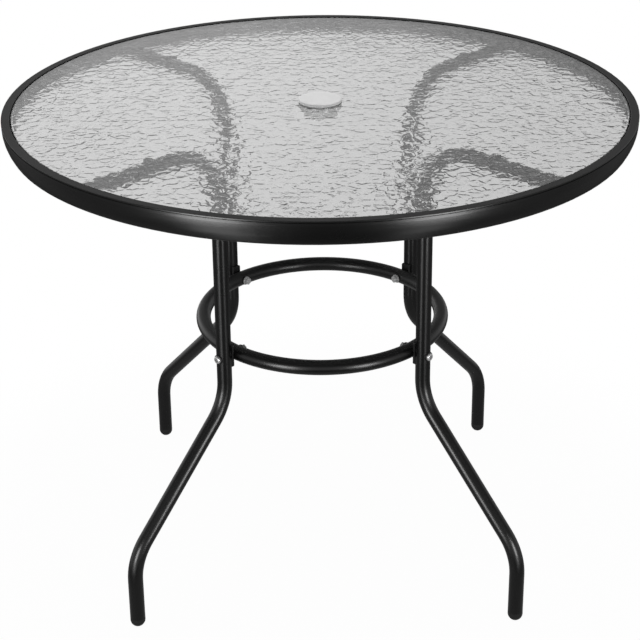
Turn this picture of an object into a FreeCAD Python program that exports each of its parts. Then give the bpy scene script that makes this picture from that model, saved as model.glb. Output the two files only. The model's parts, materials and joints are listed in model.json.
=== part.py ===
import FreeCAD
import Part
import math
import os

# Round patio table with a glass top and an umbrella hole. Millimetres, +Z up.
# The origin is on the floor under the middle of the top, and the front is towards -Y.

# Overall size
table_diameter = 914.4
rim_top_height = 711.2

# Rim: a roll-formed steel hoop, hollow, with a seat for the glass
rim_height = 35.0
rim_wall = 1.2
lip_width = 12.0
lip_depth = 1.8
lip_edge_round = 0.7
groove_depth = 1.2
groove_height = 1.4
side_setback = 0.2
side_tuck = 8.6
side_bend_drop = 17.1
side_bend_radius = 50.0
rim_bottom_round = 2.4
inner_bottom_round = 1.0
ledge_width = 3.5
ledge_round = 0.5
seam_width = 0.6
seam_height = 3.0

# Glass and its gasket
glass_thickness = 5.0
glass_recess = 1.0
glass_edge_chamfer = 0.8
gasket_floor = 1.0
gasket_side = 1.2
gasket_setback = 0.4
glass_edge_gap = 0.1
glass_hole_radius = 25.0
clear_top_margin = 2.0

# Umbrella ring in the middle of the glass, and the cap that closes it
pole_bore_radius = 20.0
sleeve_radius = 24.0
sleeve_length = 26.0
cap_seat_radius = 22.0
cap_seat_depth = 8.0
flange_radius = 31.2
flange_thickness = 1.6
flange_edge_chamfer = 0.5
thread_pitch = 3.0
thread_depth = 0.6
thread_crest_width = 0.9
thread_turns = 5
clamp_washer_radius = 30.0
clamp_washer_thickness = 1.5
clamp_nut_radius = 31.0
clamp_nut_height = 6.0
clamp_nut_clearance = 0.15
clamp_notch_count = 8
clamp_notch_radius = 3.0
clamp_notch_setout = 1.0
cap_radius = 31.6
cap_thickness = 2.4
cap_edge_round = 1.5
cap_plug_clearance = 0.3
cap_plug_wall = 2.0
cap_plug_length = 7.0

# Legs: one bent steel tube each, from the foot to the rim
tube_radius = 11.0
tube_wall = 1.2
foot_circle_radius = 390.5
post_circle_radius = 204.5
foot_bend_height = 111.0
knee_drop_from_ring = 72.0
leg_bend_radius = 80.0
pad_thickness = 3.5
arm_end_gap = 0.7

# Foot caps
foot_flat_depth = 1.0
foot_skirt_height = 4.0
foot_plug_length = 16.0
foot_plug_wall = 2.0
foot_plug_clearance = 0.1

# Ring stretcher and what holds it to the legs
stretcher_height = 369.0
stretcher_tube_radius = 11.0
stretcher_tube_wall = 1.2
spacer_web = 1.0
spacer_lap = 1.5
spacer_width = 14.0
spacer_height = 37.0
spacer_corner_round = 3.0

# Rim spigots, welded inside the rim, that the legs' arms slide over
spigot_clearance = 0.2
spigot_wall = 3.0
spigot_reach = 45.0
spigot_plate_thickness = 2.5
spigot_plate_width = 40.0
spigot_plate_height = 24.0
arm_screw_setback = 22.0

# Pads on the arms under the glass
pad_circle_radius = 326.0
pad_radius = 6.5
pad_stem_radius = 2.4
pad_stem_length = 4.0
pad_hole_clearance = 0.2

# M6 fasteners
bolt_radius = 3.0
bolt_hole_radius = 3.3
bolt_head_radius = 5.7
bolt_head_height = 3.4
bolt_head_round = 2.4
bolt_tip_chamfer = 0.6
bolt_tip_length = 1.5
drive_slot_width = 1.5
drive_slot_length = 6.4
drive_slot_depth = 2.2
saddle_washer_radius = 7.2
saddle_washer_thickness = 0.9
nut_flange_radius = 6.6
nut_flange_height = 1.3
nut_across_flats = 10.0
nut_height = 5.6
arm_screw_length = 11.0

# How far a cutting tool runs past the face that it cuts through
cut_overrun = 1.0

# Where things lie, from the sizes above
table_radius = table_diameter / 2
rim_bottom = rim_top_height - rim_height
lip_inner_radius = table_radius - lip_width
rim_inner_radius = lip_inner_radius
ledge_inner_radius = lip_inner_radius - ledge_width
glass_top = rim_top_height - glass_recess
glass_bottom = glass_top - glass_thickness
ledge_height = glass_bottom - gasket_floor
glass_radius = lip_inner_radius - gasket_side - glass_edge_gap
arm_height = glass_bottom - pad_thickness - tube_radius
knee_height = stretcher_height - knee_drop_from_ring
arm_end_radius = rim_inner_radius - spigot_plate_thickness - arm_end_gap
arm_screw_radius = rim_inner_radius - arm_screw_setback
tube_start_height = tube_radius - foot_flat_depth + foot_skirt_height
stretcher_radius = post_circle_radius - tube_radius - spacer_web - stretcher_tube_radius
sleeve_bottom = glass_top + flange_thickness - sleeve_length
bolt_seat_radius = post_circle_radius + tube_radius + saddle_washer_thickness
nut_seat_radius = stretcher_radius - stretcher_tube_radius - saddle_washer_thickness

corner_azimuths = {
    "front_left": -135.0,
    "front_right": -45.0,
    "rear_right": 45.0,
    "rear_left": 135.0,
}

up = FreeCAD.Vector(0, 0, 1)
outward = FreeCAD.Vector(1, 0, 0)
sideways = FreeCAD.Vector(0, 1, 0)
origin = FreeCAD.Vector(0, 0, 0)


def at(x, y, z):
    return FreeCAD.Vector(x, y, z)


def corner_arc(before, corner, after, radius):
    """The start, middle and end of the arc that rounds one corner."""
    back = (before - corner).normalize()
    ahead = (after - corner).normalize()
    half_angle = back.getAngle(ahead) / 2
    start = corner + back * (radius / math.tan(half_angle))
    end = corner + ahead * (radius / math.tan(half_angle))
    bisector = (back + ahead).normalize()
    centre = corner + bisector * (radius / math.sin(half_angle))
    return start, centre - bisector * radius, end


def rounded_edges(corners, closed):
    """Lines joined by tangent arcs. A corner is (x, z) or (x, z, radius)."""
    points = [at(corner[0], 0, corner[1]) for corner in corners]
    radii = [corner[2] if len(corner) > 2 else 0 for corner in corners]
    count = len(points)
    edges = []
    joints = []
    for index, point in enumerate(points):
        inside = closed or 0 < index < count - 1
        if radii[index] > 0 and inside:
            arc = corner_arc(points[index - 1], point, points[(index + 1) % count], radii[index])
            edges.append(Part.Arc(*arc).toShape())
            joints.append((arc[0], arc[2]))
        else:
            joints.append((point, point))
    spans = count if closed else count - 1
    for index in range(spans):
        start = joints[index][1]
        end = joints[(index + 1) % count][0]
        if start.distanceToPoint(end) > 1e-6:
            edges.append(Part.LineSegment(start, end).toShape())
    return Part.Wire(Part.sortEdges(edges)[0])


def turned_profile(corners, centre_x=0.0):
    """A solid of revolution about the upright line through centre_x."""
    face = Part.Face(rounded_edges(corners, True))
    face.translate(at(centre_x, 0, 0))
    return face.revolve(at(centre_x, 0, 0), up, 360)


def rod(radius, start, end):
    return Part.makeCylinder(radius, start.distanceToPoint(end), start, end - start)


def centred_box(size_x, size_y, size_z, centre):
    corner = centre - at(size_x / 2, size_y / 2, size_z / 2)
    return Part.makeBox(size_x, size_y, size_z, corner)


def turned_to(shape, azimuth):
    """A copy turned about the table's axis."""
    copy = shape.copy()
    copy.rotate(origin, up, azimuth)
    return copy


def bent_rod(corners, radius):
    """A round bar along a path that lies in the XZ plane."""
    path = rounded_edges(corners, False)
    first = path.OrderedVertexes[0].Point
    second = at(corners[1][0], 0, corners[1][1])
    circle = Part.Wire(Part.makeCircle(radius, first, second - first))
    return path.makePipe(Part.Face(circle))


def rim_band():
    side_radius = table_radius - side_setback
    groove_radius = table_radius - groove_depth
    groove_top = rim_top_height - lip_depth
    side_top = groove_top - groove_height
    side_bend = side_top - side_bend_drop
    foot_radius = side_radius - side_tuck
    outside = [
        (ledge_inner_radius, ledge_height, ledge_round),
        (lip_inner_radius, ledge_height),
        (lip_inner_radius, rim_top_height, lip_edge_round),
        (table_radius, rim_top_height, lip_edge_round),
        (table_radius, groove_top),
        (groove_radius, groove_top),
        (groove_radius, side_top),
        (side_radius, side_top),
        (side_radius, side_bend, side_bend_radius),
        (foot_radius, rim_bottom, rim_bottom_round),
        (rim_inner_radius, rim_bottom, inner_bottom_round),
        (rim_inner_radius, ledge_height - rim_wall),
        (ledge_inner_radius, ledge_height - rim_wall, ledge_round),
    ]
    # The side's inner face lies a wall's thickness inside its outer face, down to the seam
    lean = math.atan2(side_tuck, side_bend - rim_bottom)
    inner_bend = side_bend + rim_wall * math.tan(lean / 2)
    seam_top = rim_bottom + seam_height
    seam_radius = foot_radius - rim_wall / math.cos(lean) + seam_height * math.tan(lean)
    inside = [
        (rim_inner_radius + rim_wall, rim_top_height - rim_wall),
        (groove_radius - rim_wall, rim_top_height - rim_wall),
        (groove_radius - rim_wall, side_top - rim_wall),
        (side_radius - rim_wall, side_top - rim_wall),
        (side_radius - rim_wall, inner_bend, side_bend_radius - rim_wall),
        (seam_radius, seam_top),
        (rim_inner_radius + rim_wall, seam_top),
    ]
    # The strip's two edges meet along the rim's bottom, with a slit between them
    slit_inner = rim_inner_radius + rim_wall
    seam = Part.Face(Part.makePolygon([
        at(slit_inner, 0, rim_bottom - rim_wall),
        at(slit_inner + seam_width, 0, rim_bottom - rim_wall),
        at(slit_inner + seam_width, 0, seam_top + seam_width),
        at(slit_inner, 0, seam_top + seam_width),
        at(slit_inner, 0, rim_bottom - rim_wall),
    ]))
    section = Part.Face(rounded_edges(outside, True))
    section = section.cut(Part.Face(rounded_edges(inside, True))).cut(seam)
    return section.Faces[0].revolve(origin, up, 360)


def glass_gasket():
    return turned_profile([
        (ledge_inner_radius + gasket_setback, ledge_height),
        (lip_inner_radius, ledge_height),
        (lip_inner_radius, glass_top),
        (lip_inner_radius - gasket_side, glass_top),
        (lip_inner_radius - gasket_side, glass_bottom),
        (ledge_inner_radius + gasket_setback, glass_bottom),
    ])


def glass_sheet():
    """Flat round sheet. Its top face is split at the circle outside which nothing lies on it."""
    chamfer = glass_edge_chamfer
    clear_radius = cap_radius + clear_top_margin
    return turned_profile([
        (glass_hole_radius, glass_bottom + chamfer),
        (glass_hole_radius + chamfer, glass_bottom),
        (glass_radius - chamfer, glass_bottom),
        (glass_radius, glass_bottom + chamfer),
        (glass_radius, glass_top - chamfer),
        (glass_radius - chamfer, glass_top),
        (clear_radius, glass_top),
        (glass_hole_radius + chamfer, glass_top),
        (glass_hole_radius, glass_top - chamfer),
    ])


def umbrella_ring():
    flange_top = glass_top + flange_thickness
    seat_bottom = flange_top - cap_seat_depth
    root = sleeve_radius - thread_depth
    flank = (thread_pitch - thread_crest_width) / 2
    thread_top = sleeve_bottom + thread_turns * thread_pitch
    outline = [
        (pole_bore_radius, sleeve_bottom),
        (root, sleeve_bottom),
    ]
    for turn in range(thread_turns):
        start = sleeve_bottom + turn * thread_pitch
        outline.append((sleeve_radius, start + flank))
        outline.append((sleeve_radius, start + flank + thread_crest_width))
        outline.append((root, start + thread_pitch))
    outline += [
        (root, thread_top + thread_depth),
        (sleeve_radius, thread_top + 2 * thread_depth),
        (sleeve_radius, glass_top),
        (flange_radius, glass_top),
        (flange_radius, flange_top - flange_edge_chamfer),
        (flange_radius - flange_edge_chamfer, flange_top),
        (cap_seat_radius, flange_top),
        (cap_seat_radius, seat_bottom),
        (pole_bore_radius, seat_bottom),
    ]
    return turned_profile(outline)


def clamp_washer():
    inner = sleeve_radius + clamp_nut_clearance
    return turned_profile([
        (inner, glass_bottom - clamp_washer_thickness),
        (clamp_washer_radius, glass_bottom - clamp_washer_thickness),
        (clamp_washer_radius, glass_bottom),
        (inner, glass_bottom),
    ])


def clamp_nut():
    top = glass_bottom - clamp_washer_thickness
    bottom = top - clamp_nut_height
    inner = sleeve_radius + clamp_nut_clearance
    nut = turned_profile([
        (inner, bottom),
        (clamp_nut_radius, bottom),
        (clamp_nut_radius, top),
        (inner, top),
    ])
    notch_circle = clamp_nut_radius + clamp_notch_setout
    grip = rod(clamp_notch_radius, at(notch_circle, 0, bottom - cut_overrun),
               at(notch_circle, 0, top + cut_overrun))
    for notch in range(clamp_notch_count):
        nut = nut.cut(turned_to(grip, notch * 360.0 / clamp_notch_count))
    return nut


def umbrella_cap():
    seat = glass_top + flange_thickness
    plug_radius = cap_seat_radius - cap_plug_clearance
    plug_bottom = seat - cap_plug_length
    return turned_profile([
        (0, seat),
        (plug_radius - cap_plug_wall, seat),
        (plug_radius - cap_plug_wall, plug_bottom),
        (plug_radius, plug_bottom),
        (plug_radius, seat),
        (cap_radius, seat),
        (cap_radius, seat + cap_thickness, cap_edge_round),
        (0, seat + cap_thickness),
    ])


def bolt_hole():
    """The hole that a stretcher bolt runs through, along +X, as a cutting tool."""
    return rod(bolt_hole_radius, at(stretcher_radius - 2 * stretcher_tube_radius, 0, stretcher_height),
               at(post_circle_radius + 2 * tube_radius, 0, stretcher_height))


def leg():
    corners = [
        (foot_circle_radius, tube_start_height),
        (foot_circle_radius, foot_bend_height, leg_bend_radius),
        (post_circle_radius, knee_height, leg_bend_radius),
        (post_circle_radius, arm_height, leg_bend_radius),
        (arm_end_radius, arm_height),
    ]
    tube = bent_rod(corners, tube_radius).cut(bent_rod(corners, tube_radius - tube_wall))
    tube = tube.cut(bolt_hole())
    screw_hole = rod(bolt_hole_radius, at(arm_screw_radius, 0, arm_height - 2 * tube_radius),
                     at(arm_screw_radius, 0, arm_height))
    pad_hole = rod(pad_stem_radius + pad_hole_clearance, at(pad_circle_radius, 0, arm_height),
                   at(pad_circle_radius, 0, arm_height + 2 * tube_radius))
    return tube.cut(screw_hole).cut(pad_hole)


def foot_cap():
    """Domed end cap, cut flat where it stands, with a plug that fits inside the tube."""
    centre = tube_radius - foot_flat_depth
    dome = Part.makeSphere(tube_radius, at(foot_circle_radius, 0, centre))
    lower_half = centred_box(4 * tube_radius, 4 * tube_radius, centre,
                             at(foot_circle_radius, 0, centre / 2))
    skirt = rod(tube_radius, at(foot_circle_radius, 0, centre),
                at(foot_circle_radius, 0, tube_start_height))
    plug_radius = tube_radius - tube_wall - foot_plug_clearance
    plug_top = tube_start_height + foot_plug_length
    plug = rod(plug_radius, at(foot_circle_radius, 0, centre), at(foot_circle_radius, 0, plug_top))
    hollow = rod(plug_radius - foot_plug_wall, at(foot_circle_radius, 0, tube_start_height),
                 at(foot_circle_radius, 0, plug_top + cut_overrun))
    return dome.common(lower_half).fuse([skirt, plug]).cut(hollow).removeSplitter()


def stretcher_torus(radius):
    return Part.makeTorus(stretcher_radius, radius, at(0, 0, stretcher_height), up)


def ring_stretcher():
    ring = stretcher_torus(stretcher_tube_radius)
    ring = ring.cut(stretcher_torus(stretcher_tube_radius - stretcher_tube_wall))
    for azimuth in corner_azimuths.values():
        ring = ring.cut(turned_to(bolt_hole(), azimuth))
    return ring


def post_outside():
    """The outside of a leg's upright part, as a cutting tool."""
    return rod(tube_radius, at(post_circle_radius, 0, stretcher_height - 2 * spacer_height),
               at(post_circle_radius, 0, stretcher_height + 2 * spacer_height))


def ring_spacer():
    """Upright pad between a leg and the ring, hollowed on both faces to sit on each tube."""
    near = post_circle_radius - tube_radius + spacer_lap
    far = stretcher_radius + stretcher_tube_radius - spacer_lap
    pad = centred_box(near - far, spacer_width, spacer_height,
                      at((near + far) / 2, 0, stretcher_height))
    upright_corners = [edge for edge in pad.Edges
                       if abs(edge.tangentAt(edge.FirstParameter).x) > 0.9]
    pad = pad.makeFillet(spacer_corner_round, upright_corners)
    return pad.cut(post_outside()).cut(stretcher_torus(stretcher_tube_radius)).cut(bolt_hole())


def outer_saddle_washer():
    blank = rod(saddle_washer_radius, at(post_circle_radius, 0, stretcher_height),
                at(bolt_seat_radius, 0, stretcher_height))
    return blank.cut(post_outside()).cut(bolt_hole())


def inner_saddle_washer():
    blank = rod(saddle_washer_radius, at(nut_seat_radius, 0, stretcher_height),
                at(stretcher_radius, 0, stretcher_height))
    return blank.cut(stretcher_torus(stretcher_tube_radius)).cut(bolt_hole())


def pan_head_bolt(length):
    """Upright bolt: its head sits on Z = 0 and its shank runs down."""
    head = turned_profile([
        (0, 0),
        (bolt_head_radius, 0),
        (bolt_head_radius, bolt_head_height, bolt_head_round),
        (0, bolt_head_height),
    ])
    shank = turned_profile([
        (0, -length),
        (bolt_radius - bolt_tip_chamfer, -length),
        (bolt_radius, -length + bolt_tip_chamfer),
        (bolt_radius, 0),
        (0, 0),
    ])
    bolt = head.fuse(shank).removeSplitter()
    slot_middle = at(0, 0, bolt_head_height)
    bolt = bolt.cut(centred_box(drive_slot_length, drive_slot_width, 2 * drive_slot_depth, slot_middle))
    return bolt.cut(centred_box(drive_slot_width, drive_slot_length, 2 * drive_slot_depth, slot_middle))


def stretcher_bolt():
    length = bolt_seat_radius - nut_seat_radius + nut_height + bolt_tip_length
    bolt = pan_head_bolt(length)
    bolt.rotate(origin, sideways, 90)
    bolt.translate(at(bolt_seat_radius, 0, stretcher_height))
    return bolt


def flange_nut():
    """Hexagon nut with a round flange, on the inside of the ring."""
    corner_radius = nut_across_flats / 2 / math.cos(math.radians(30))
    points = [at(corner_radius * math.cos(math.radians(60 * side)),
                 corner_radius * math.sin(math.radians(60 * side)), 0) for side in range(7)]
    hexagon = Part.Face(Part.makePolygon(points)).extrude(at(0, 0, nut_height))
    flange = rod(nut_flange_radius, origin, at(0, 0, nut_flange_height))
    bore = rod(bolt_radius, at(0, 0, -cut_overrun), at(0, 0, nut_height + cut_overrun))
    nut = hexagon.fuse(flange).cut(bore)
    nut = nut.removeSplitter()
    nut.rotate(origin, sideways, -90)
    nut.translate(at(nut_seat_radius, 0, stretcher_height))
    return nut


def rim_spigot():
    """Curved plate on the rim's inner wall with a short tube that the arm slides over."""
    plate_inner = rim_inner_radius - spigot_plate_thickness
    low = at(0, 0, arm_height - spigot_plate_height / 2)
    high = at(0, 0, arm_height + spigot_plate_height / 2)
    inside = rod(plate_inner, low - up * cut_overrun, high + up * cut_overrun)
    plate = rod(rim_inner_radius, low, high).cut(inside)
    window = centred_box(rim_inner_radius, spigot_plate_width, spigot_plate_height,
                         at(rim_inner_radius, 0, arm_height))
    outer = tube_radius - tube_wall - spigot_clearance
    start = at(rim_inner_radius - spigot_reach, 0, arm_height)
    end = at(rim_inner_radius - spigot_plate_thickness / 2, 0, arm_height)
    spigot = plate.common(window).fuse(rod(outer, start, end))
    bore = rod(outer - spigot_wall, start - outward * cut_overrun, end - outward * spigot_plate_thickness)
    spigot = spigot.cut(bore)
    thread = rod(bolt_radius, at(arm_screw_radius, 0, arm_height - 2 * tube_radius),
                 at(arm_screw_radius, 0, arm_height))
    return spigot.cut(thread).removeSplitter()


def arm_outside():
    return rod(tube_radius, at(pad_circle_radius / 2, 0, arm_height), at(arm_end_radius, 0, arm_height))


def arm_saddle_washer():
    seat = arm_height - tube_radius - saddle_washer_thickness
    blank = rod(saddle_washer_radius, at(arm_screw_radius, 0, seat), at(arm_screw_radius, 0, arm_height))
    hole = rod(bolt_hole_radius, at(arm_screw_radius, 0, seat - cut_overrun),
               at(arm_screw_radius, 0, arm_height))
    return blank.cut(arm_outside()).cut(hole)


def arm_screw():
    screw = pan_head_bolt(arm_screw_length)
    screw.rotate(origin, outward, 180)
    screw.translate(at(arm_screw_radius, 0, arm_height - tube_radius - saddle_washer_thickness))
    return screw


def glass_pad():
    """Rubber pad on the arm's crown that the glass rests on, held by a stem in the tube."""
    head = rod(pad_radius, at(pad_circle_radius, 0, arm_height), at(pad_circle_radius, 0, glass_bottom))
    stem_end = arm_height + tube_radius - tube_wall - pad_stem_length
    stem = rod(pad_stem_radius, at(pad_circle_radius, 0, stem_end), at(pad_circle_radius, 0, glass_bottom))
    return head.cut(arm_outside()).fuse(stem).removeSplitter()


def save(node, shape):
    if not shape.isValid():
        raise ValueError(node + " is not a valid shape")
    shape.exportStep(os.path.join("parts", node + ".step"))


def main():
    os.makedirs("parts", exist_ok=True)
    single_nodes = {
        "rim_band": rim_band(),
        "glass_gasket": glass_gasket(),
        "glass_top": glass_sheet(),
        "umbrella_ring": umbrella_ring(),
        "umbrella_ring_washer": clamp_washer(),
        "umbrella_ring_nut": clamp_nut(),
        "umbrella_cap": umbrella_cap(),
        "ring_stretcher": ring_stretcher(),
    }
    corner_nodes = {
        "leg": leg(),
        "foot_cap": foot_cap(),
        "ring_spacer": ring_spacer(),
        "rim_spigot": rim_spigot(),
        "glass_pad": glass_pad(),
    }
    fastener_groups = {
        "stretcher_bolts": stretcher_bolt(),
        "stretcher_nuts": flange_nut(),
        "stretcher_outer_washers": outer_saddle_washer(),
        "stretcher_inner_washers": inner_saddle_washer(),
        "arm_screws": arm_screw(),
        "arm_screw_washers": arm_saddle_washer(),
    }
    for node, shape in single_nodes.items():
        save(node, shape)
    for node, shape in corner_nodes.items():
        for corner, azimuth in corner_azimuths.items():
            save(node + "_" + corner, turned_to(shape, azimuth))
    for node, shape in fastener_groups.items():
        copies = [turned_to(shape, azimuth) for azimuth in corner_azimuths.values()]
        save(node, Part.makeCompound(copies))


main()
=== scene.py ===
import bpy
import json
import math
import numpy as np
from mathutils import Matrix, Vector


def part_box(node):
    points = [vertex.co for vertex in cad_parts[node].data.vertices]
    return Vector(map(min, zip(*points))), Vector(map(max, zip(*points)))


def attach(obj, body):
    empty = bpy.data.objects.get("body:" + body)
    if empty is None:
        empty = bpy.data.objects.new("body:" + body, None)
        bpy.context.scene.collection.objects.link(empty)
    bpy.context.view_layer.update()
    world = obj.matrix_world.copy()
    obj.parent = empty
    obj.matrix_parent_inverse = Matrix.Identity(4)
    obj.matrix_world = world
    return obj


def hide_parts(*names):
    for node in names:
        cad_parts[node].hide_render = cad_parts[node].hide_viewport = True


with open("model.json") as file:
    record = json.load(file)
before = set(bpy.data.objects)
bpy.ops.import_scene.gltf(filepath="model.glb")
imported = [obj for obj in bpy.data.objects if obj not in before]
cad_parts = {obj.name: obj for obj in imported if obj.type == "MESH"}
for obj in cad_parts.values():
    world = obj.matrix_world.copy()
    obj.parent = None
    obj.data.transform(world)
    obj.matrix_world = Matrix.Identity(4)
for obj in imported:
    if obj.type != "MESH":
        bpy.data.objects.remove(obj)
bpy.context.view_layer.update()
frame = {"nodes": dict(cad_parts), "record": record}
scene = bpy.context.scene
print("frame loaded:", len(frame["nodes"]), "nodes")


# Shader maths as Python expressions

class Value:
    # one output socket; the operators below add Math nodes behind it
    def __init__(self, finish, socket):
        self.finish = finish
        self.socket = socket

    def math(self, operation, *values):
        return self.finish.add("ShaderNodeMath", {"operation": operation}, values)

    def __add__(self, other):
        return self.math("ADD", self, other)

    def __radd__(self, other):
        return self.math("ADD", other, self)

    def __sub__(self, other):
        return self.math("SUBTRACT", self, other)

    def __rsub__(self, other):
        return self.math("SUBTRACT", other, self)

    def __mul__(self, other):
        return self.math("MULTIPLY", self, other)

    def __rmul__(self, other):
        return self.math("MULTIPLY", other, self)

    def __abs__(self):
        return self.math("ABSOLUTE", self)

    def atLeast(self, other):
        return self.math("MAXIMUM", self, other)

    def between(self, low, high):
        # 0 below low, 1 above high, eased in between
        return self.finish.add("ShaderNodeMapRange", {"interpolation_type": "SMOOTHSTEP"},
                               (self, low, high, 0.0, 1.0))


class Finish:
    # a node tree, and the one method that adds a node to it
    def __init__(self, owner):
        self.owner = owner
        owner.use_nodes = True
        self.tree = owner.node_tree
        self.tree.nodes.clear()

    def add(self, kind, settings=None, values=(), output=0):
        node = self.tree.nodes.new(kind)
        for name, setting in (settings or {}).items():
            setattr(node, name, setting)
        pairs = values.items() if isinstance(values, dict) else enumerate(values)
        for key, value in pairs:
            if isinstance(value, Value):
                self.tree.links.new(value.socket, node.inputs[key])
            else:
                node.inputs[key].default_value = value
        return Value(self, node.outputs[output] if len(node.outputs) else None)

    def place(self):
        return self.add("ShaderNodeTexCoord", output="Object")

    def axis(self, vector, number):
        return self.add("ShaderNodeSeparateXYZ", {}, {0: vector}, number)

    def vector(self, operation, *values):
        return self.add("ShaderNodeVectorMath", {"operation": operation}, values)

    def length(self, vector):
        return self.add("ShaderNodeVectorMath", {"operation": "LENGTH"}, {0: vector}, "Value")

    def ray(self, kind):
        return self.add("ShaderNodeLightPath", output=kind)

    def noise(self, place, scale, detail, roughness=0.5, distortion=0.0, output=0):
        return self.add("ShaderNodeTexNoise", {}, {
            "Vector": place, "Scale": scale, "Detail": detail,
            "Roughness": roughness, "Distortion": distortion}, output)

    def cellEdges(self, place, scale, randomness):
        # distance to the nearest edge of a flat pattern of random cells
        return self.add("ShaderNodeTexVoronoi",
                        {"voronoi_dimensions": "2D", "feature": "DISTANCE_TO_EDGE"},
                        {"Vector": place, "Scale": scale, "Randomness": randomness}, "Distance")

    def mixGreys(self, factor, first, second):
        return self.add("ShaderNodeMix", {"data_type": "RGBA"},
                        {0: factor, 6: grey(first), 7: grey(second)}, 2)

    def bump(self, height, distance, strength, normal=None):
        values = {"Height": height, "Distance": distance, "Strength": strength}
        if normal:
            values["Normal"] = normal
        return self.add("ShaderNodeBump", {}, values)

    def principled(self, values):
        return self.surface(self.add("ShaderNodeBsdfPrincipled", {}, values))

    def surface(self, shader):
        self.add("ShaderNodeOutputMaterial", {}, {"Surface": shader})
        return self.owner


def grey(level):
    return (level, level, level, 1.0)


def newFinish(name):
    return Finish(bpy.data.materials.new(name))


# Finishes. Scales are in noise cells a metre, depths in metres.

powderCoat = {
    "colour": 0.003,             # satin black
    "speckColour": 0.008,
    "speckScale": 1500.0,
    "specks": (0.66, 0.78),      # where the noise makes a speck
    "peelScale": 620.0,          # orange peel, about 1.5 mm across
    "peelDepth": 0.00003,
    "grainScale": 2600.0,
    "grainDepth": 0.000008,
    "driftScale": 9.0,           # slow change of gloss from place to place
    "roughness": (0.25, 0.31),
    "wornRoughness": 0.56,       # upward faces, wiped and dusted
    "wornFacing": (0.6, 0.95),
    "specular": 0.38,
}


def makePowderCoat(use):
    finish = newFinish("powderCoatBlack")
    place = finish.place()
    peel = finish.noise(place, use["peelScale"], 2.0)
    grain = finish.noise(place, use["grainScale"], 1.0)
    drift = finish.noise(place, use["driftScale"], 3.0)
    specks = finish.noise(place, use["speckScale"], 0.0).between(*use["specks"])
    low, high = use["roughness"]
    normal = finish.add("ShaderNodeNewGeometry", output="Normal")
    worn = finish.axis(normal, 2).between(*use["wornFacing"])
    paler = specks * 0.7 + drift * 0.3
    relief = finish.bump(peel, use["peelDepth"], 0.6)
    return finish.principled({
        "Base Color": finish.mixGreys(paler, use["colour"], use["speckColour"]),
        "Roughness": low + (high - low) * drift + worn * (use["wornRoughness"] - low),
        "Normal": finish.bump(grain, use["grainDepth"], 0.5, relief),
        "Specular IOR Level": use["specular"]})


blackPlastic = {
    "colour": 0.01,
    "dustColour": 0.03,
    "dustHeight": (0.0005, 0.006),    # scuffs stay within 6 mm of the floor
    "scuffScale": 420.0,
    "scuffs": (0.5, 0.72),       # where the noise makes a scuff
    "grainScale": 1900.0,
    "grainDepth": 0.00002,
    "roughness": 0.48,
    "specular": 0.35,
}


def makeBlackPlastic(use):
    finish = newFinish("blackPlastic")
    place = finish.place()
    grain = finish.noise(place, use["grainScale"], 2.0)
    low = 1.0 - finish.axis(place, 2).between(*use["dustHeight"])
    scuffs = low * finish.noise(place, use["scuffScale"], 4.0).between(*use["scuffs"])
    return finish.principled({
        "Base Color": finish.mixGreys(scuffs, use["colour"], use["dustColour"]),
        "Roughness": use["roughness"] + 0.12 * (grain - 0.5) + 0.15 * scuffs,
        "Normal": finish.bump(grain, use["grainDepth"], 0.5),
        "Specular IOR Level": use["specular"]})


zincSteel = {
    "colour": 0.62,
    "spangleColour": 0.5,
    "spangleScale": 260.0,
    "spangles": (0.35, 0.7),     # where the noise makes a spangle
    "metallic": 0.65,            # dulled by its passivation
    "roughness": (0.3, 0.45),
    "scratchScale": 900.0,
    "scratchDepth": 0.000006,
}


def makeZincSteel(use):
    finish = newFinish("zincSteel")
    place = finish.place()
    clouds = finish.noise(place, use["spangleScale"], 3.0)
    scratches = finish.noise(place, use["scratchScale"], 4.0, 0.7, 1.5)
    low, high = use["roughness"]
    spangles = clouds.between(*use["spangles"])
    return finish.principled({
        "Base Color": finish.mixGreys(spangles, use["colour"], use["spangleColour"]),
        "Metallic": use["metallic"],
        "Roughness": low + (high - low) * clouds,
        "Normal": finish.bump(scratches, use["scratchDepth"], 0.6)})


palePlastic = {
    "colour": 0.63,
    "streakColour": 0.59,
    "streakScale": 38.0,         # flow marks of the moulding
    "streaks": (0.4, 0.75),
    "roughness": 0.22,
    "grainScale": 1600.0,
    "grainDepth": 0.00001,
    "softness": 0.25,            # share of light that scatters under the surface
    "scatter": (0.004, 0.004, 0.004),
    "coat": 0.3,
}
whitePlastic = dict(palePlastic, colour=0.94, streakColour=0.9, coat=0.0)


def makePalePlastic(name, use):
    finish = newFinish(name)
    place = finish.place()
    flow = finish.noise(place, use["streakScale"], 3.0, 0.5, 0.8)
    grain = finish.noise(place, use["grainScale"], 1.0)
    streaks = flow.between(*use["streaks"])
    return finish.principled({
        "Base Color": finish.mixGreys(streaks, use["colour"], use["streakColour"]),
        "Roughness": use["roughness"] + 0.1 * (flow - 0.5),
        "Normal": finish.bump(grain, use["grainDepth"], 0.5),
        "Subsurface Weight": use["softness"], "Subsurface Radius": use["scatter"],
        "Coat Weight": use["coat"]})


softBlack = {
    "colour": 0.002,
    "bloomColour": 0.006,        # pale bloom of old vinyl and rubber
    "bloomScale": 70.0,
    "bloom": (0.45, 0.8),
    "roughness": 0.75,
    "grainScale": 1300.0,
    "grainDepth": 0.00002,
    "specular": 0.06,
}
rubberBlack = dict(softBlack, roughness=0.82)


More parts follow.
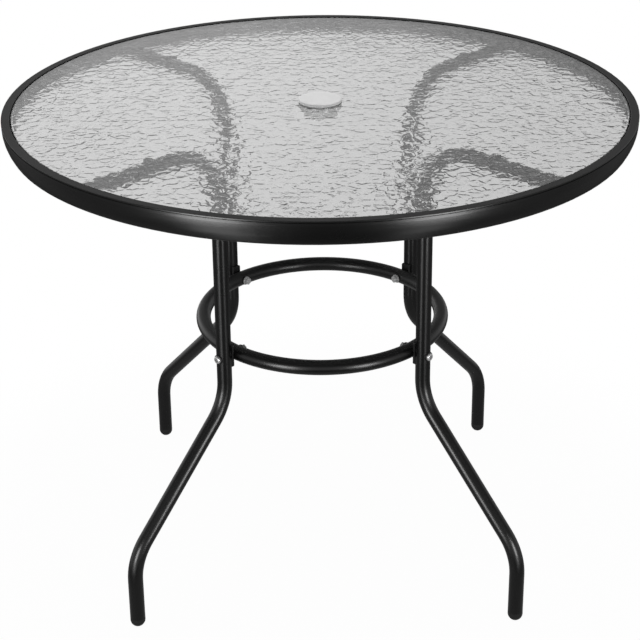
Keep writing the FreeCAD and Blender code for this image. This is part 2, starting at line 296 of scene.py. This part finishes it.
def makeSoftBlack(name, use):
    finish = newFinish(name)
    place = finish.place()
    clouds = finish.noise(place, use["bloomScale"], 4.0)
    grain = finish.noise(place, use["grainScale"], 2.0)
    bloom = clouds.between(*use["bloom"])
    return finish.principled({
        "Base Color": finish.mixGreys(bloom, use["colour"], use["bloomColour"]),
        "Roughness": use["roughness"] + 0.15 * clouds,
        "Normal": finish.bump(grain, use["grainDepth"], 0.6),
        "Specular IOR Level": use["specular"]})


finishes = {
    "powder_coat": makePowderCoat(powderCoat),
    "black_plastic": makeBlackPlastic(blackPlastic),
    "zinc_steel": makeZincSteel(zincSteel),
    "clear_plastic": makePalePlastic("ringPlastic", whitePlastic),
    "cap_plastic": makePalePlastic("capPlastic", palePlastic),
    "gasket_vinyl": makeSoftBlack("gasketVinyl", softBlack),
    "rubber": makeSoftBlack("padRubber", rubberBlack),
}
slotOf = {row["node"]: row["material_slot"] for row in frame["record"]["subparts"]}
for name, node in frame["nodes"].items():
    if slotOf[name] in finishes:
        node.material_slots[0].material = finishes[slotOf[name]]
print("finishes made:", len(finishes))


# Glass top

glassSheet = {
    "gridHalf": 150,             # cells from the middle of the grid to its side
    "holeHalf": 10,              # cells that the umbrella hole takes
    "holeRadius": 0.025,
    "topRadius": 0.06,           # circle on the smooth top, where its long faces end
    "chamfer": 0.0008,
    "seed": 4,
    "cellSize": 0.026,           # spacing of the pressed cells
    "cellJitter": 0.4,
    "cellsBeforeRepeat": 44,
    "wander": (0.0035, 0.048),   # how far the valleys wander, and over what length
    "wanderAcross": (1.3, 2.3, 0.7),    # phase, and two rates of the second wave
    "wanderAlong": (0.4, 1.9, -0.8),
    "valleyWidth": 0.008,
    "valleyDepth": 0.0002,
    "slopeDepth": 0.0003,        # of the slopes beside the valleys
    "slopeReach": 0.3,           # in cell sizes
    "slopeSpread": 0.6,          # how much the slopes differ from cell to cell
    "flatEdge": 0.003,           # width over which the pattern fades out
    "edgeSeat": 0.001,           # plain glass at the outer edge
    "ringSeat": 0.034,           # radius of the plain glass round the hole
}


def smooth(share):
    share = np.clip(share, 0, 1)
    return share * share * (3 - 2 * share)


def wander(along, across, wave, use):
    # a slow sine with a quicker one on it, which runs aslant
    reach, length = use["wander"]
    phase, quick, aslant = wave
    turn = 2 * math.pi / length
    ripple = np.sin(quick * turn * along + aslant * turn * across)
    return reach * (np.sin(turn * along + phase) + 0.6 * ripple)


def valleyField(x, y, use):
    # Distance to the nearest valley, and a random number of the cell's own. The valleys are the
    # lines half way between the two nearest of a set of seeded points, one in each square of a
    # lattice, and the plane is first pushed about by slow sines so that the lines wander.
    u = x + wander(y, x, use["wanderAcross"], use)
    v = y + wander(x, y, use["wanderAlong"], use)
    size, count = use["cellSize"], use["cellsBeforeRepeat"]
    spots = np.random.default_rng(use["seed"]).random((count, count, 3))
    column = np.floor(u / size).astype(int)
    row = np.floor(v / size).astype(int)
    nearest = np.full(x.shape, 1e9)
    second = np.full(x.shape, 1e9)
    own = np.zeros(x.shape)
    for stepX in (-2, -1, 0, 1, 2):
        for stepY in (-2, -1, 0, 1, 2):
            i, j = column + stepX, row + stepY
            spot = spots[i % count, j % count]
            shift = 0.5 + use["cellJitter"] * 2 * (spot[..., :2] - 0.5)
            gap = np.hypot((i + shift[..., 0]) * size - u, (j + shift[..., 1]) * size - v)
            closer = gap < nearest
            second = np.where(closer, nearest, np.minimum(second, gap))
            own = np.where(closer, spot[..., 2], own)
            nearest = np.where(closer, gap, nearest)
    return (second - nearest) / 2, own


def pressedHeight(x, y, radius, edgeRadius, use):
    # How far the pattern is pressed up into the plain underside: a bell-shaped valley along each
    # line, and a slope beside it that falls off with distance and differs from cell to cell.
    # Both fade out near the sheet's edge and round the hole.
    away, own = valleyField(x, y, use)
    valley = np.exp(-(away / (use["valleyWidth"] / 2)) ** 2)
    slope = np.exp(-away / (use["cellSize"] * use["slopeReach"]))
    spread = use["slopeSpread"]
    fade = (smooth((edgeRadius - use["edgeSeat"] - radius) / use["flatEdge"])
            * smooth((radius - use["ringSeat"]) / use["flatEdge"]))
    return fade * (use["valleyDepth"] * valley
                   + use["slopeDepth"] * slope * (1 - spread + spread * own))


def squareAngle(gridX, gridY, ring):
    # Angle of a point on a square ring, even along the ring: each side takes a quarter turn.
    ring = np.maximum(ring, 1)
    right = gridY / ring * math.pi / 4
    top = math.pi / 2 - gridX / ring * math.pi / 4
    left = math.pi - gridY / ring * math.pi / 4
    bottom = 3 * math.pi / 2 + gridX / ring * math.pi / 4
    angle = np.where(gridX == ring, right,
                     np.where(gridY == ring, top, np.where(gridX == -ring, left, bottom)))
    return angle % (2 * math.pi)


def makeGlass(use):
    # A closed sheet. Ring k of a square grid, counted from the middle, becomes a circle of the
    # underside: its radius grows evenly from the hole to the edge, and its angle with the step
    # along the ring's four sides. More circles carry the outer edge and the hole's wall up to
    # the smooth top, with a chamfer at each corner.
    low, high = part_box("glass_top")
    half, hole, chamfer = use["gridHalf"], use["holeHalf"], use["chamfer"]
    edgeRadius = high.x - chamfer
    innerRadius = use["holeRadius"] + chamfer
    steps = np.arange(-half, half + 1)
    gridX, gridY = np.meshgrid(steps, steps, indexing="ij")
    ring = np.maximum(abs(gridX), abs(gridY))
    angle = squareAngle(gridX, gridY, ring)
    radius = innerRadius + (edgeRadius - innerRadius) * (ring - hole) / (half - hole)
    x, y = radius * np.cos(angle), radius * np.sin(angle)
    z = low.z + pressedHeight(x, y, radius, edgeRadius, use)
    kept = ring >= hole
    index = np.cumsum(kept).reshape(kept.shape) - 1
    points = [np.stack([x, y, z], -1)[kept]]
    outside = (abs(gridX[:-1, :-1] + 0.5) > hole) | (abs(gridY[:-1, :-1] + 0.5) > hole)
    corners = (index[:-1, :-1], index[:-1, 1:], index[1:, 1:], index[1:, :-1])
    cells = np.stack(corners, -1)[outside]

    def gridCircle(number):
        # the points of one of the grid's rings and their angles, once round
        on = ring == number
        order = np.argsort(angle[on], kind="stable")
        return index[on][order], angle[on][order]

    def addCircle(turns, circleRadius, height):
        # new points on a level circle, at the given angles
        first = sum(len(group) for group in points)
        points.append(np.stack([circleRadius * np.cos(turns), circleRadius * np.sin(turns),
                                np.full(turns.shape, height)], -1))
        return np.arange(first, first + len(turns))

    def band(first, second):
        # faces between two circles of as many points
        return np.stack([first, np.roll(first, -1), np.roll(second, -1), second], -1)

    outer, outerTurns = gridCircle(half)
    inner, innerTurns = gridCircle(hole)
    edge = [outer, addCircle(outerTurns, high.x, low.z + chamfer),
            addCircle(outerTurns, high.x, high.z - chamfer),
            addCircle(outerTurns, edgeRadius, high.z),
            addCircle(outerTurns, use["topRadius"], high.z)]
    well = [inner, addCircle(innerTurns, use["holeRadius"], low.z + chamfer),
            addCircle(innerTurns, use["holeRadius"], high.z - chamfer),
            addCircle(innerTurns, innerRadius, high.z)]
    quads = [cells] + [band(a, b) for a, b in zip(edge, edge[1:])]
    quads += [band(b, a) for a, b in zip(well, well[1:])]
    # the top's last band has more points outside than inside, so each face takes several of them
    share = len(outer) // len(inner)
    spokes = np.arange(len(inner)) * share
    fans = [edge[-1][(spokes + k) % len(outer)] for k in range(share + 1)]
    fans = np.stack(fans + [np.roll(well[-1], -1), well[-1]], -1)
    faces = np.concatenate(quads).tolist() + fans.tolist()
    mesh = bpy.data.meshes.new("glassSheet")
    mesh.from_pydata(np.concatenate(points), [], faces)
    mesh.polygons.foreach_set("use_smooth", np.arange(len(faces)) < len(cells))
    mesh.validate()
    piece = bpy.data.objects.new("glassSheet", mesh)
    scene.collection.objects.link(piece)
    return piece


glassFinish = {
    "colour": 0.57,
    # painted shade: the glass's colour is a little darker along the creases and folds
    "creasePaintedShade": 0.555,
    "creaseSpacing": 0.0155,     # fine creases, pressed into the underside
    "creaseHalfWidth": 0.0039,
    "creaseDepth": 0.0003,
    "creaseWander": (0.009, 42.0),      # how far the creases wander, and its noise scale
    "comes": (60.0, 0.38, 0.62),        # noise scale and limits: where a crease is deep
    "foldFineness": 1.7,         # folds between the creases: how much closer,
    "foldWidth": 0.75,           # narrower and shallower they are
    "foldDepth": 0.3,
    "goes": (85.0, 0.5, 0.7),           # noise scale and limits: where there are folds
    "underside": (0.7072, 0.7082),      # heights inside the sheet over which the creases end
    "middleDepth": 0.7,          # the creases are shallower in the sheet's middle
    "middle": (0.1, 0.36),       # radii over which they deepen
    "roughness": (0.01, 0.03),
    "hazeScale": 30.0,
    "ior": 1.5,
}


def makeGlassFinish(use):
    # Fine creases run along the edges of a wandering cell pattern, on the underside only. Their
    # depth comes and goes, so that they break up into short strokes. The base colour is also
    # made
    # a little darker along them: painted shade.
    finish = newFinish("rippledGlass")
    place = finish.place()
    flat = finish.vector("MULTIPLY", place, (1.0, 1.0, 0.0))
    reach, scale = use["creaseWander"]
    drift = finish.noise(place, scale, 3.0, output="Color")
    drift = finish.vector("SUBTRACT", drift, (0.5, 0.5, 0.5))
    bent = finish.vector("ADD", flat, finish.vector("MULTIPLY", drift, (reach, reach, 0.0)))
    scale, low, high = use["comes"]
    comes = finish.noise(place, scale, 1.0).between(low, high)
    scale, low, high = use["goes"]
    goes = finish.noise(place, scale, 1.0).between(low, high)
    spacing = use["creaseSpacing"]
    half = use["creaseHalfWidth"] / spacing
    lines = finish.cellEdges(bent, 1 / spacing, 0.95)
    crease = (1.0 - lines.between(0.0, half)) * (0.4 + 0.6 * comes)
    lines = finish.cellEdges(bent, use["foldFineness"] / spacing, 1.0)
    fold = (1.0 - lines.between(0.0, use["foldWidth"] * half)) * goes * use["foldDepth"]
    under = 1.0 - finish.axis(place, 2).between(*use["underside"])
    middle = use["middleDepth"]
    deepens = middle + (1 - middle) * finish.length(flat).between(*use["middle"])
    relief = (crease + fold) * under * deepens
    haze = finish.noise(place, use["hazeScale"], 3.0)
    low, high = use["roughness"]
    return finish.principled({
        # painted shade: the base colour darkens along the pressed creases and folds
        "Base Color": finish.mixGreys(relief, use["colour"], use["creasePaintedShade"]),
        "Roughness": low + (high - low) * haze,
        "Normal": finish.bump(relief, use["creaseDepth"], 1.0),
        "Transmission Weight": 1.0, "IOR": use["ior"]})


glass = makeGlass(glassSheet)
glass.data.materials.append(makeGlassFinish(glassFinish))
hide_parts("glass_top")
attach(glass, "table")
print("glass sheet made:", len(glass.data.polygons), "faces")


# Studio

studioFloor = {
    "radius": 0.8,
    "corners": 96,
    "colour": 0.85,
    "white": 0.97,               # share of plain white that the floor shows, under the table
    "whiteFade": (0.48, 0.8),    # radii over which it grows to all
    "gloss": 0.3,                # what gloss sees of the floor under the table
    "glossFade": (0.45, 0.65),   # radii over which that turns into the world's own level
    "glossSides": (0.3, 0.6),    # distances aside over which that level changes
}

studioWorld = {
    "backdrop": 1.06,            # what gloss sees of the white behind the table
    "rightShade": 0.4,           # how much darker the backdrop is at the right
    "rightFade": (-0.08, 0.16),
    "frontWall": 0.7,            # what gloss sees behind the camera
    "frontFade": (-0.5, 0.3),
    "ceiling": 0.1,              # what gloss sees overhead
    "ceilingFade": (0.25, 0.75),
    "pit": (0.05, 0.16),         # what gloss sees low down: ahead or behind, at the sides
    "pitSides": (0.4, 0.85),
    "pitFade": (-0.3, -0.08),
    "overGlass": (0.35, 0.08),   # what light bent in the glass sees overhead: middle, sides
    "sideFade": (0.14, 0.4),     # where the white backdrop ends, left and right
    "sideEnd": (0.5, 0.65),      # where the walls beside the table are white again
    "belowFade": (-0.3, -0.1),   # below this the dark sides are white
    "fill": (1.0, 0.6),          # what matt surfaces see of the room: level, overhead
    "fillFade": (0.0, 0.8),
}


def makeFloor(use, world):
    # A flat disc. Matt light meets its colour, so it keeps the table's shadow. What camera,
    # glossy and bent rays see is mostly a plain glow.
    turns = np.linspace(0, 2 * math.pi, use["corners"], endpoint=False)
    rim = np.stack([np.cos(turns), np.sin(turns), 0 * turns], -1) * use["radius"]
    mesh = bpy.data.meshes.new("studioFloor")
    mesh.from_pydata(rim, [], [list(range(len(rim)))])
    floor = bpy.data.objects.new("studioFloor", mesh)
    scene.collection.objects.link(floor)
    finish = newFinish("studioFloor")
    camera = finish.ray("Is Camera Ray")
    glossy = finish.ray("Is Glossy Ray")
    through = finish.ray("Is Transmission Ray")
    place = finish.place()
    away = finish.length(place)
    white = use["white"] + (1 - use["white"]) * away.between(*use["whiteFade"])
    low, high = world["pit"]
    pit = low + (high - low) * abs(finish.axis(place, 0)).between(*use["glossSides"])
    gloss = use["gloss"] + away.between(*use["glossFade"]) * (pit - use["gloss"])
    # a ray bent by glass also counts as glossy, and sees white
    shown = 1.0 + glossy * (1.0 - through) * (gloss - 1.0)
    matt = finish.add("ShaderNodeBsdfDiffuse", {}, {"Color": grey(use["colour"])})
    glow = finish.add("ShaderNodeEmission", {}, {"Color": grey(1.0), "Strength": shown})
    seen = camera.atLeast(glossy.atLeast(through)) * white
    mesh.materials.append(finish.surface(
        finish.add("ShaderNodeMixShader", {}, (seen, matt, glow))))


def makeWorld(use):
    # one level of white for each kind of ray, which changes with the ray's direction
    world = bpy.data.worlds.new("studioWorld")
    scene.world = world
    finish = Finish(world)
    direction = finish.add("ShaderNodeTexCoord", output="Generated")
    across, behind, height = [finish.axis(direction, number) for number in (0, 1, 2)]
    overhead = height.between(*use["ceilingFade"])
    # what gloss sees
    backdrop = use["backdrop"] * (1.0 - use["rightShade"] * across.between(*use["rightFade"]))
    wall = use["frontWall"] + behind.between(*use["frontFade"]) * (backdrop - use["frontWall"])
    low, high = use["pit"]
    pit = low + (high - low) * abs(across).between(*use["pitSides"])
    gloss = wall + overhead * (use["ceiling"] - wall)
    gloss = gloss + (1.0 - height.between(*use["pitFade"])) * (pit - gloss)
    # what light that has been through the glass sees
    middle, sides = use["overGlass"]
    aside = abs(across).between(*use["sideFade"]) * (1.0 - abs(across).between(*use["sideEnd"]))
    white = 1.0 - aside * (1.0 - sides) * height.between(*use["belowFade"])
    bent = white + overhead * (middle + (sides - middle) * aside - white)
    # what matt surfaces see
    low, high = use["fill"]
    fill = low + (high - low) * height.between(*use["fillFade"])
    level = gloss + finish.ray("Is Transmission Ray") * (bent - gloss)
    level = level + finish.ray("Is Diffuse Ray") * (fill - level)
    level = level + finish.ray("Is Camera Ray") * (1.0 - level)
    shader = finish.add("ShaderNodeBackground", {}, {"Color": grey(1.0), "Strength": level})
    finish.add("ShaderNodeOutputWorld", {}, {"Surface": shader})


softboxes = {
    # name: bearing from the front in degrees, distance and height of its middle, height that it
    # aims at over the table's middle, width, length, power
    "leftBox": (-33.0, 1.43, 0.4, 0.6, 0.46, 0.54, 9.9),
    "rightBox": (33.2, 1.43, 0.4, 0.6, 0.42, 0.54, 9.1),
    "leftFarGlow": (-32.0, 1.1, 0.02, 6.0, 0.31, 0.5, 1.3),
    "rightFarGlow": (32.6, 1.1, 0.02, 6.0, 0.24, 0.5, 0.62),
    "leftNearGlow": (-29.2, 0.74, 0.02, 6.0, 0.15, 0.24, 0.12),
    "rightNearGlow": (29.4, 0.74, 0.02, 6.0, 0.12, 0.24, 0.07),
    "topBox": (0.0, 0.3, 2.8, 0.45, 3.0, 3.0, 26.0),
}
lightsMatt = ("topBox",)         # the others only show in gloss


def makeSoftboxes(boxes):
    for name, (bearing, distance, height, aimHeight, width, length, power) in boxes.items():
        turn = math.radians(bearing)
        data = bpy.data.lights.new(name, "AREA")
        data.shape = "RECTANGLE"
        data.size, data.size_y = width, length
        data.energy = power
        lamp = bpy.data.objects.new(name, data)
        lamp.location = (math.sin(turn) * distance, -math.cos(turn) * distance, height)
        aim = Vector((0, 0, aimHeight)) - lamp.location
        lamp.rotation_euler = aim.to_track_quat("-Z", "Y").to_euler()
        lamp.visible_camera = False
        lamp.visible_transmission = False
        lamp.visible_diffuse = name in lightsMatt
        scene.collection.objects.link(lamp)


makeFloor(studioFloor, studioWorld)
makeWorld(studioWorld)
makeSoftboxes(softboxes)
print("studio made")


# Camera

photoCamera = {
    "bearing": -0.0092,          # radians off the table's front
    "distance": 2.27371,         # from the table's axis, level
    "height": 1.47176,
    "pitch": 0.39925,            # radians below level
    "roll": -0.00777,
    "yaw": -0.0044,
    "focalPixels": 1645.15,
    "axisPixel": (328.06, 225.94),
    "picture": 640,              # pixels across and down
    "sensor": 36.0,              # mm
}
# light goes through the glass's two faces many times
bounces = {"max_bounces": 24, "transmission_bounces": 24, "glossy_bounces": 8}


def makeCamera(use):
    bearing, pitch, roll = use["bearing"], use["pitch"], use["roll"]
    turn = bearing + use["yaw"]
    ahead = Vector((-math.sin(turn) * math.cos(pitch), math.cos(turn) * math.cos(pitch),
                    -math.sin(pitch)))
    level = Vector((math.cos(turn), math.sin(turn), 0))
    above = level.cross(ahead)
    right = math.cos(roll) * level + math.sin(roll) * above
    up = right.cross(ahead)
    data = bpy.data.cameras.new("photoCamera")
    data.sensor_width = use["sensor"]
    data.lens = data.sensor_width * use["focalPixels"] / use["picture"]
    data.shift_x = 0.5 - use["axisPixel"][0] / use["picture"]
    data.shift_y = use["axisPixel"][1] / use["picture"] - 0.5
    camera = bpy.data.objects.new("photoCamera", data)
    spot = Vector((math.sin(bearing) * use["distance"], -math.cos(bearing) * use["distance"],
                   use["height"]))
    turned = Matrix((right, up, -ahead)).transposed().to_4x4()
    camera.matrix_world = Matrix.Translation(spot) @ turned
    scene.collection.objects.link(camera)
    scene.camera = camera


makeCamera(photoCamera)
scene.view_settings.view_transform = "Standard"
for name, count in bounces.items():
    setattr(scene.cycles, name, count)
print("camera made")
